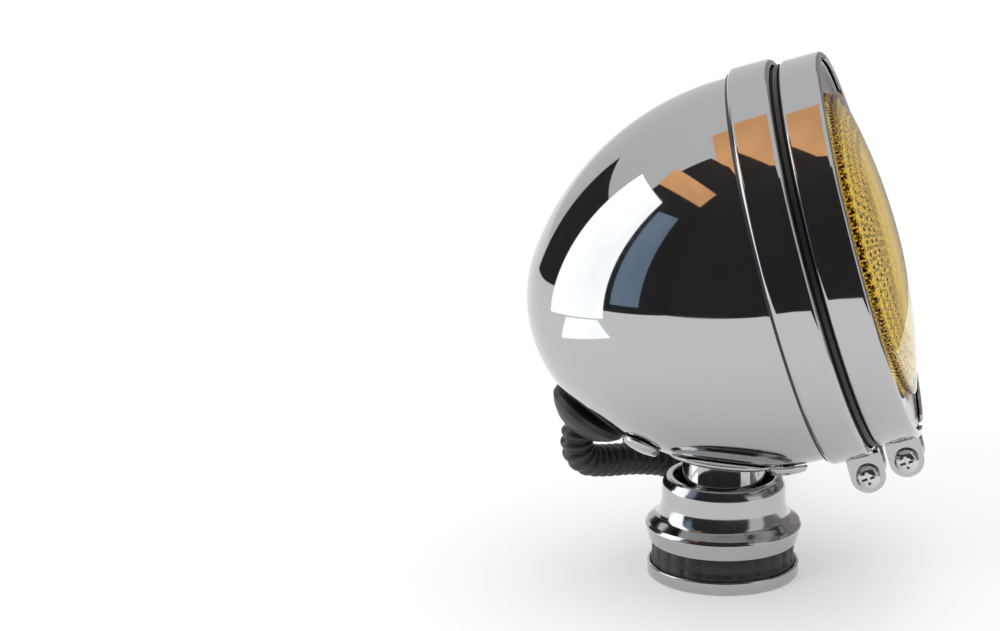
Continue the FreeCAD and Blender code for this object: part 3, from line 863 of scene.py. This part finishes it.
class FOG_OT_reflector(Operator):
    """Makes the metallised dish and the dark recess behind the bulb"""
    bl_idname = "fog.reflector"
    bl_label = "Reflector"

    def execute(self, context):
        steps = 36
        radii = [WELL_R + (DISH_R - WELL_R) * k / steps for k in range(steps + 1)]
        front = [(r, dish_a(r)) for r in radii]
        back = [(r, dish_a(r, 0.7)) for r in reversed(radii)]
        rim = dish_a(DISH_R)
        flange = [(75.5, rim), (75.5, rim - 0.8)]
        dish = lathe("reflector_dish", front + flange + back, "reflector", HEAD)
        settle(dish, "head", "reflector")
        top = dish_a(WELL_R, 1.2)
        well = lathe("bulb_recess", rounded([
            (WELL_R, top, 0.0), (WELL_R - 0.9, top, 0.0), (WELL_R - 0.9, WELL_BACK + 1.0, 3.0),
            (11.0, WELL_BACK + 1.0, 0.3), (11.0, WELL_BACK, 0.0), (WELL_R, WELL_BACK, 2.0)]),
            "well", HEAD, around=96)
        settle(well, "head", "bulb_well")
        return {"FINISHED"}


class FOG_OT_bulb(Operator):
    """Makes the bulb's flange, glass, coil and the ledge above it"""
    bl_idname = "fog.bulb"
    bl_label = "Bulb"

    def execute(self, context):
        seat = WELL_BACK + 1.0
        flange = lathe("bulb_flange_turned", rounded([
            (0.0, seat - 5.0, 0.0), (9.0, seat - 5.0, 0.8), (9.0, seat + 0.1, 0.0),
            (12.2, seat + 0.1, 0.3), (12.2, seat + 1.2, 0.3), (9.8, seat + 1.2, 0.4),
            (8.7, seat + 3.6, 0.5), (6.2, seat + 3.6, 0.4), (6.2, seat + 2.0, 0.0),
            (0.0, seat + 2.0, 0.0)], closed=False), "zinc", HEAD, around=96, closed=False)
        settle(flange, "head", "bulb_flange")
        glass_top = arc((0, seat + 14.6), 5.6, 0, 90, 14)
        glass_in = arc((0, seat + 14.6), 4.8, 90, 0, 14)
        glass = lathe("bulb_glass_tube", [(0.0, seat + 2.1), (5.6, seat + 2.1)] + glass_top
                      + glass_in + [(4.8, seat + 2.9), (0.0, seat + 2.9)], "clear_glass", HEAD,
                      around=64, closed=False)
        settle(glass, "head", "bulb_glass")
        turns, wire = 9, 0.16
        coil = []
        for i in range(turns * 16 + 1):
            t = 2 * math.pi * i / 16
            coil.append(Vector((-2.4 + 4.8 * i / (turns * 16), 0.75 * math.cos(t),
                                seat + 12 + 0.75 * math.sin(t))))
        posts = [[Vector((2.4 * s, 0, seat + 2.9)), Vector((2.4 * s, 0, seat + 7.0)),
                  Vector((2.4 * s, 0.75, seat + 12))] for s in (-1, 1)]
        data = joined_data([tube_data(coil, wire, 8)] + [tube_data(p, 0.3, 8) for p in posts])
        filament = finish_mesh("bulb_coil", *data, "tungsten", HEAD)
        settle(filament, "head", "bulb_filament")
        return {"FINISHED"}


# ---- tubes ----
def tube_data(points, radius, around, radii=None):
    """Tube along points, its rings turned without twist; radii gives one radius a point."""
    vertices, faces = [], []
    count = len(points)
    side = None
    for i, point in enumerate(points):
        along = (points[min(count - 1, i + 1)] - points[max(0, i - 1)]).normalized()
        if side is None:
            side = along.orthogonal().normalized()
        side = (side - along * side.dot(along)).normalized()
        other = along.cross(side)
        r = radii[i] if radii else radius
        for k in range(around):
            turn = 2 * math.pi * k / around
            vertices.append(tuple(point + (side * math.cos(turn) + other * math.sin(turn)) * r))
    for i in range(count - 1):
        for k in range(around):
            m = (k + 1) % around
            faces.append((i * around + k, i * around + m, (i + 1) * around + m,
                          (i + 1) * around + k))
    faces.append(tuple(reversed(range(around))))
    faces.append(tuple((count - 1) * around + k for k in range(around)))
    return vertices, faces


# ---- pedestal ----
class FOG_OT_base(Operator):
    """Makes the base disc, its rubber pad and the spun pedestal"""
    bl_idname = "fog.base"
    bl_label = "Base"

    def execute(self, context):
        disc = lathe("base_disc_pressed", rounded([
            (6.2, 0.0, 0.0), (31.1, 0.0, 1.3), (31.1, 5.7, 0.7), (29.8, 5.7, 0.5),
            (29.8, 1.2, 0.0), (6.2, 1.2, 0.0)]), "chrome", around=192)
        settle(disc, "base", "base_disc")

        def scallop(r, a, turn):
            if r < 26.0 or a < 6.2:
                return r, a
            wave = 0.5 + 0.5 * math.cos(turn * 24)
            return r - 0.55 * wave ** 3, a

        pad = lathe("rubber_pad_moulded", rounded([
            (14.2, 1.2, 0.0), (29.75, 1.2, 0.0), (29.7, 6.8, 0.8), (29.0, 8.4, 0.6),
            (29.2, 11.4, 0.8), (28.6, 15.35, 0.3), (14.2, 15.35, 0.0)]), "rubber", around=240,
            shape=scallop)
        settle(pad, "base", "rubber_pad")
        cup = lathe("pedestal_spun", rounded([
            (30.2, 14.8, 0.3), (31.6, 20.2, 1.0), (32.2, 21.6, 0.9), (31.0, 23.2, 1.8),
            (26.8, 25.6, 4.0), (25.4, 31.0, 6.0), (25.3, 38.6, 4.2), (23.4, 42.0, 1.4),
            (20.7, 42.0, 0.6), (20.7, 40.2, 0.3), (21.6, 40.2, 0.3), (24.0, 37.2, 2.0),
            (24.0, 29.6, 4.0), (25.4, 24.2, 3.0), (30.2, 21.0, 0.8), (28.9, 14.8, 0.3)],
            step=math.radians(6)), "spun_chrome", around=192)
        settle(cup, "base", "pedestal_cup")
        return {"FINISHED"}


BALL_Z = 30.0
BALL_R = 19.0
BALL_T = 1.8
COLLAR_R = 17.0
COLLAR_TOP = 66.5
SLOT = (17.0, 26.0, 13.5)       # lets the washer's tongue through as the head tilts
SLOT_MID = 14.75


class FOG_OT_neck(Operator):
    """Makes the collar and the flange that hugs the bowl"""
    bl_idname = "fog.neck"
    bl_label = "Neck"

    def execute(self, context):
        low = math.degrees(math.asin(-15.0 / BALL_R))
        high = math.degrees(math.acos(COLLAR_R / BALL_R))
        outer = arc((0, BALL_Z), BALL_R, low, high, 30)
        inner_r = BALL_R - BALL_T
        inner = arc((0, BALL_Z), inner_r, math.degrees(math.acos(15.0 / inner_r)), low, 24)
        outline = outer + [(COLLAR_R, COLLAR_TOP), (15.0, COLLAR_TOP)] + inner
        ball = lathe("swivel_collar", outline, "chrome", around=128)
        carve(ball, box_data(SLOT, (0, 0, SLOT_MID)))
        settle(ball, "head", "swivel_ball")
        profile = [(17.05, 0.0), (17.05, 1.9), (18.2, 1.9), (22.0, 1.9), (23.4, 1.75),
                   (24.1, 1.4), (24.5, 0.9), (24.6, 0.45), (24.5, 0.05), (23.6, 0.0),
                   (20.0, 0.0)]
        around = 160
        vertices = []
        for i in range(around):
            turn = 2 * math.pi * i / around
            for r, rise in profile:
                x, y = r * math.cos(turn), r * math.sin(turn)
                vertices.append((x, y, bowl_underside(x, y) - rise))
        count = len(profile)
        faces = [(i * count + k, ((i + 1) % around) * count + k,
                  ((i + 1) % around) * count + (k + 1) % count, i * count + (k + 1) % count)
                 for i in range(around) for k in range(count)]
        flange = finish_mesh("saddle_flange_pressed", vertices, faces, "chrome")
        settle(flange, "head", "saddle_flange")
        return {"FINISHED"}


PLATE_BOLTS = ((53.0, 30.0), (53.0, -30.0), (82.5, 17.0), (82.5, -17.0))


class FOG_OT_plate_bolts(Operator):
    """Makes the low round bolt heads under the bowl"""
    bl_idname = "fog.plate_bolts"
    bl_label = "Plate Bolts"

    def execute(self, context):
        outline = rounded([
            (0.0, 0.1, 0.0), (8.0, 0.1, 0.2), (8.3, 0.9, 0.4), (7.3, 2.6, 0.8), (6.4, 2.9, 1.4),
            (3.2, 3.5, 4.0), (0.0, 3.65, 0.0)], closed=False)
        shank = [(0.0, -10.4), (2.7, -10.4), (3.0, -10.0), (3.0, 0.2), (0.0, 0.2)]
        parts = []
        for angle, lateral in PLATE_BOLTS:
            stand = bowl_seat(math.radians(angle), math.radians(lateral))
            parts.append(moved(lathe_data(outline, around=64, closed=False), stand))
            parts.append(moved(lathe_data(shank, around=32, closed=False), stand))
        bolts = finish_mesh("plate_bolt_heads", *joined_data(parts), "chrome")
        settle(bolts, "head", "plate_bolts")
        return {"FINISHED"}


# ---- cord ----
GROMMET_TURN = math.radians(39.0)


def loom_line():
    """The loom's centre line, read from a NURBS spline through its route."""
    curve = bpy.data.curves.new("loom_route", "CURVE")
    curve.dimensions = "3D"
    curve.resolution_u = 32
    spline = curve.splines.new("NURBS")
    spline.points.add(len(LOOM_ROUTE) - 1)
    for point, place in zip(spline.points, LOOM_ROUTE):
        point.co = (*place, 1.0)
    spline.order_u = 3
    spline.use_endpoint_u = True
    route = bpy.data.objects.new("loom_route", curve)
    bpy.context.scene.collection.objects.link(route)
    bpy.context.view_layer.update()
    view = route.evaluated_get(bpy.context.evaluated_depsgraph_get())
    mesh = bpy.data.meshes.new_from_object(view)
    line = [v.co.copy() for v in mesh.vertices]
    bpy.data.objects.remove(route)
    bpy.data.curves.remove(curve)
    bpy.data.meshes.remove(mesh)
    if (line[0] - Vector(LOOM_ROUTE[0])).length > (line[-1] - Vector(LOOM_ROUTE[0])).length:
        line.reverse()
    return line


def evenly(line, step):
    """Points along a line at one even spacing, ends kept."""
    lengths = [0.0]
    for a, b in zip(line, line[1:]):
        lengths.append(lengths[-1] + (b - a).length)
    count = max(2, int(lengths[-1] / step))
    points, k = [], 0
    for i in range(count + 1):
        want = lengths[-1] * i / count
        while k < len(line) - 2 and lengths[k + 1] < want:
            k += 1
        share = (want - lengths[k]) / max(1e-12, lengths[k + 1] - lengths[k])
        points.append(line[k].lerp(line[k + 1], min(1.0, share)))
    return points, lengths[-1]


def grommet_data():
    dome = rounded([
        (0.0, 0.3, 0.0), (17.0, 0.3, 0.4), (17.0, 3.2, 1.0), (14.8, 6.0, 4.0), (10.2, 9.6, 2.4),
        (6.9, 10.0, 0.6), (0.0, 10.0, 0.0)], closed=False)
    return lathe_data(dome, around=96, closed=False)


class FOG_OT_cord(Operator):
    """Makes the corrugated loom, its grommet and sleeve"""
    bl_idname = "fog.cord"
    bl_label = "Cord"

    def execute(self, context):
        cord = context.scene.fog_cord
        line = loom_line()
        step = cord.ridge_pitch / 10
        points, length = evenly(line, step)
        ridges = round(length / cord.ridge_pitch)
        radii = []
        for i in range(len(points)):
            phase = (i / (len(points) - 1) * ridges) % 1.0
            crest = 0.5 + 0.5 * math.cos(2 * math.pi * phase)
            radii.append(LOOM_R - cord.ridge_depth * (1 - crest) ** 1.7)
        vertices, faces = tube_data(points, LOOM_R, 40, radii)
        loom = finish_mesh("cord_loom_ridged", [tuple(Vector(v) / MM) for v in vertices], faces,
                           "loom", sharp=math.radians(80))
        settle_cord(loom, points)
        stand = bowl_seat(GROMMET_TURN, 0.0)
        grommet = finish_mesh("cord_grommet_moulded", *moved(grommet_data(), stand), "rubber")
        settle(grommet, "head", "cord_grommet")
        return {"FINISHED"}


def settle_cord(loom, points):
    end = points[-1]
    way = (points[-1] - points[-4]).normalized()
    turn = Vector((0, 0, 1)).rotation_difference(way).to_matrix().to_4x4()
    stand = Matrix.Translation(end / MM) @ turn
    sleeve = finish_mesh("loom_sleeve_shrunk", *moved(lathe_data(rounded([
        (0.0, 0.0, 0.0), (6.75, 0.0, 0.3), (6.75, 1.6, 1.5), (4.9, 7.5, 5.0), (3.7, 12.0, 2.0),
        (3.6, 14.0, 0.0), (0.0, 14.0, 0.0)], closed=False), around=48, closed=False), stand),
        "black_plastic")
    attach(sleeve, "swivel")
    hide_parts("loom_sleeve")
    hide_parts("cord_loom")
    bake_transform(loom)


# ---- stage ----
CAMERA_TURN = math.radians(2.43)    # how far the camera stands forward of square-on
CAMERA_RISE = math.radians(16.7)
CAMERA_DISTANCE = 1.9
CAMERA_LENS = 168.7
LOOK_HEIGHT = 0.105                 # height on the stud axis that the camera is set out from
LOOK_ASIDE = 0.0917                 # the object stands this far right of the view's centre
LOOK_UP = 0.0031


def aim(thing, place, target):
    thing.location = place
    thing.rotation_mode = "QUATERNION"
    thing.rotation_quaternion = (Vector(target) - Vector(place)).to_track_quat("-Z", "Y")


def area_lamp(name, place, target, size, power):
    data = bpy.data.lights.new(name, "AREA")
    data.shape = "RECTANGLE"
    data.size, data.size_y = size
    data.energy = power
    lamp = bpy.data.objects.new(name, data)
    lamp.visible_glossy = False
    bpy.context.scene.collection.objects.link(lamp)
    aim(lamp, place, target)


def card(name, place, size, colour, target=(0, 0, 0.12), glow=0.0):
    """Studio card that only mirror-like surfaces see: it neither lights nor shades."""
    mesh = bpy.data.meshes.new(name)
    w, h = size[0] / 2, size[1] / 2
    mesh.from_pydata([(-w, -h, 0), (w, -h, 0), (w, h, 0), (-w, h, 0)], [], [(0, 1, 2, 3)])
    panel = bpy.data.objects.new(name, mesh)
    bpy.context.scene.collection.objects.link(panel)
    aim(panel, place, target)
    finish, tree, shader = new_material(name + "_card")
    tone = node_at(tree, "ShaderNodeTexNoise", Scale=1.6, Detail=3.0)
    mix = node_at(tree, "ShaderNodeMix", data_type="RGBA")
    mix.inputs["A"].default_value = (*[c * 0.75 for c in colour], 1)
    mix.inputs["B"].default_value = (*[min(1, c * 1.25) for c in colour], 1)
    tree.links.new(tone.outputs["Fac"], mix.inputs["Factor"])
    tree.links.new(mix.outputs["Result"], shader.inputs["Base Color"])
    shader.inputs["Roughness"].default_value = 0.9
    if glow:
        tree.links.new(mix.outputs["Result"], shader.inputs["Emission Color"])
        shader.inputs["Emission Strength"].default_value = glow
    mesh.materials.append(finish)
    panel.visible_camera = False
    panel.visible_diffuse = False
    panel.visible_transmission = False
    panel.visible_shadow = False


def ringed(turn, reach, height):
    """Place at a turn from the camera's side of the studio towards the head's back."""
    return (-reach * math.cos(turn), reach * math.sin(turn), height)


class FOG_OT_stage(Operator):
    """Makes the camera, floor, studio cards and lamps"""
    bl_idname = "fog.stage"
    bl_label = "Stage"

    def execute(self, context):
        stage = context.scene.fog_stage
        self.make_camera(context)
        self.make_floor(stage)
        self.make_lamps(stage)
        self.make_cards()
        context.scene.view_settings.view_transform = "Standard"
        return {"FINISHED"}

    def make_camera(self, context):
        data = bpy.data.cameras.new("camera")
        data.lens = CAMERA_LENS
        data.sensor_width = 36.0
        camera = bpy.data.objects.new("camera", data)
        context.scene.collection.objects.link(camera)
        back = Vector((-math.cos(CAMERA_RISE) * math.cos(CAMERA_TURN),
                       -math.cos(CAMERA_RISE) * math.sin(CAMERA_TURN), math.sin(CAMERA_RISE)))
        right = (-back).cross(Vector((0, 0, 1))).normalized()
        up = right.cross(-back)
        centre = Vector((0, 0, LOOK_HEIGHT))
        aim(camera, centre + back * CAMERA_DISTANCE, centre - right * LOOK_ASIDE + up * LOOK_UP)
        context.scene.camera = camera

    def make_floor(self, stage):
        mesh = bpy.data.meshes.new("studio_floor")
        far = 6.0
        mesh.from_pydata([(-far, -far, 0), (far, -far, 0), (far, far, 0), (-far, far, 0)], [],
                         [(0, 1, 2, 3)])
        floor = bpy.data.objects.new("studio_floor", mesh)
        bpy.context.scene.collection.objects.link(floor)
        finish, tree, shader = new_material("studio_floor_paper")
        tone = node_at(tree, "ShaderNodeTexNoise", Scale=3.0, Detail=4.0)
        mix = node_at(tree, "ShaderNodeMix", data_type="RGBA")
        colour = tuple(stage.floor)
        mix.inputs["A"].default_value = (*colour, 1)
        mix.inputs["B"].default_value = (*[min(1, c * 1.02) for c in colour], 1)
        tree.links.new(tone.outputs["Fac"], mix.inputs["Factor"])
        tree.links.new(mix.outputs["Result"], shader.inputs["Base Color"])
        shader.inputs["Roughness"].default_value = 0.85
        shader.inputs["Emission Color"].default_value = (1, 1, 1, 1)
        seen = tree.nodes.new("ShaderNodeLightPath")
        share = seen.outputs["Is Camera Ray"]
        for ray in ("Is Glossy Ray", "Is Transmission Ray"):
            add = node_at(tree, "ShaderNodeMath", operation="ADD", use_clamp=True)
            tree.links.new(share, add.inputs[0])
            tree.links.new(seen.outputs[ray], add.inputs[1])
            share = add.outputs["Value"]
        glow = node_at(tree, "ShaderNodeMath", operation="MULTIPLY")
        glow.inputs[1].default_value = stage.floor_glow
        tree.links.new(share, glow.inputs[0])
        tree.links.new(glow.outputs["Value"], shader.inputs["Emission Strength"])
        mesh.materials.append(finish)

    def make_lamps(self, stage):
        world = bpy.data.worlds.new("studio")
        bpy.context.scene.world = world
        world.use_nodes = True
        tree = world.node_tree
        background = tree.nodes["Background"]
        place = node_at(tree, "ShaderNodeTexCoord")
        height = node_at(tree, "ShaderNodeSeparateXYZ")
        ramp = node_at(tree, "ShaderNodeValToRGB")
        ramp.color_ramp.elements[0].position = 0.46
        ramp.color_ramp.elements[0].color = (0.86, 0.86, 0.86, 1)
        ramp.color_ramp.elements[1].position = 0.9
        ramp.color_ramp.elements[1].color = (1.0, 1.0, 1.0, 1)
        shift = node_at(tree, "ShaderNodeMath", operation="MULTIPLY_ADD")
        shift.inputs[1].default_value = 0.5
        shift.inputs[2].default_value = 0.5
        tree.links.new(place.outputs["Generated"], height.inputs["Vector"])
        tree.links.new(height.outputs["Z"], shift.inputs[0])
        tree.links.new(shift.outputs["Value"], ramp.inputs["Fac"])
        tree.links.new(ramp.outputs["Color"], background.inputs["Color"])
        background.inputs["Strength"].default_value = stage.world_strength
        area_lamp("key_window", (-1.5, 1.3, 1.5), (0, 0, 0.12), (0.9, 0.9), stage.key_power)
        area_lamp("top_soft", (0.2, -0.2, 2.2), (0, 0, 0.1), (1.6, 1.6), stage.key_power)

    def make_cards(self):
        dark = (0.022, 0.022, 0.024)
        for k, degrees in enumerate((-22, 22, 62)):
            turn = math.radians(degrees)
            card("dark_wall_%d" % k, ringed(turn, 0.62, 0.74), (0.62, 1.46), dark,
                 ringed(turn, 0.0, 0.74))
        card("dark_far", (0.5, 1.1, 0.35), (0.9, 0.7), dark)
        for k, tone in enumerate((0.42, 0.36, 0.30, 0.26)):
            turn = math.radians(198 + 24 * k)
            card("grey_wall_%d" % k, ringed(turn, 0.5, 0.3), (0.24, 0.6),
                 (tone, tone * 0.9, tone * 0.9), ringed(turn, 0.0, 0.3))
        pale = (0.9, 0.93, 0.95)
        low_window = math.radians(88)
        card("window_low", ringed(low_window, 0.45, 0.27), (0.27, 0.52), pale,
             ringed(low_window, 0.0, 0.27), glow=1.7)
        side_window = math.radians(61)
        card("window_side", ringed(side_window, 0.48, 0.28), (0.12, 0.42), (0.16, 0.22, 0.30),
             ringed(side_window, 0.0, 0.28), glow=0.6)
        patch = ringed(math.radians(82), 0.37, 0.003)
        card("window_patch", patch, (0.15, 0.17), pale, (*patch[:2], 1.0), glow=1.5)
        warm = (0.78, 0.40, 0.18)
        beam = math.radians(68)
        card("warm_beam", ringed(beam, 0.45, 0.67), (0.36, 0.1), warm, glow=0.75)
        card("warm_shelf", (-0.14, 0.43, 1.5), (1.12, 0.46), warm,
             (-0.14, 0.43, 0.0), glow=0.75)


# ---- carried-over nodes ----
class FOG_OT_carried_nodes(Operator):
    """Gives every CAD node that stays its finish"""
    bl_idname = "fog.carried_nodes"
    bl_label = "Carried-over Nodes"

    def execute(self, context):
        slots = {s["node"]: s["material_slot"] for s in frame["record"]["subparts"]}
        for name, piece in frame["nodes"].items():
            piece.data.materials.clear()
            piece.data.materials.append(material(slots[name]))
        return {"FINISHED"}


OPERATORS = (
    FOG_OT_stage, FOG_OT_cord, FOG_OT_carried_nodes, FOG_OT_housing, FOG_OT_bands,
    FOG_OT_clamp_screws, FOG_OT_lens, FOG_OT_faceplate, FOG_OT_reflector, FOG_OT_bulb,
    FOG_OT_base, FOG_OT_neck, FOG_OT_plate_bolts)


class FOG_PT_panel(Panel):
    """Lists the fog light's pieces"""
    bl_label = "Fog Light"
    bl_space_type = "VIEW_3D"
    bl_region_type = "UI"
    bl_category = "Fog Light"

    def draw(self, context):
        for group in SETTINGS:
            box = self.layout.box()
            for prop in SETTINGS[group].__annotations__:
                box.prop(getattr(context.scene, group), prop)
        for operator in OPERATORS:
            self.layout.operator(operator.bl_idname)


def register():
    for group, settings in SETTINGS.items():
        bpy.utils.register_class(settings)
        setattr(bpy.types.Scene, group, PointerProperty(type=settings))
    for operator in OPERATORS:
        bpy.utils.register_class(operator)
    bpy.utils.register_class(FOG_PT_panel)


def unregister():
    bpy.utils.unregister_class(FOG_PT_panel)
    for operator in reversed(OPERATORS):
        bpy.utils.unregister_class(operator)
    for group, settings in SETTINGS.items():
        delattr(bpy.types.Scene, group)
        bpy.utils.unregister_class(settings)


def main():
    register()
    for operator in OPERATORS:
        name = operator.bl_idname.split(".")[1]
        getattr(bpy.ops.fog, name)()


if __name__ == "__main__":
    main()
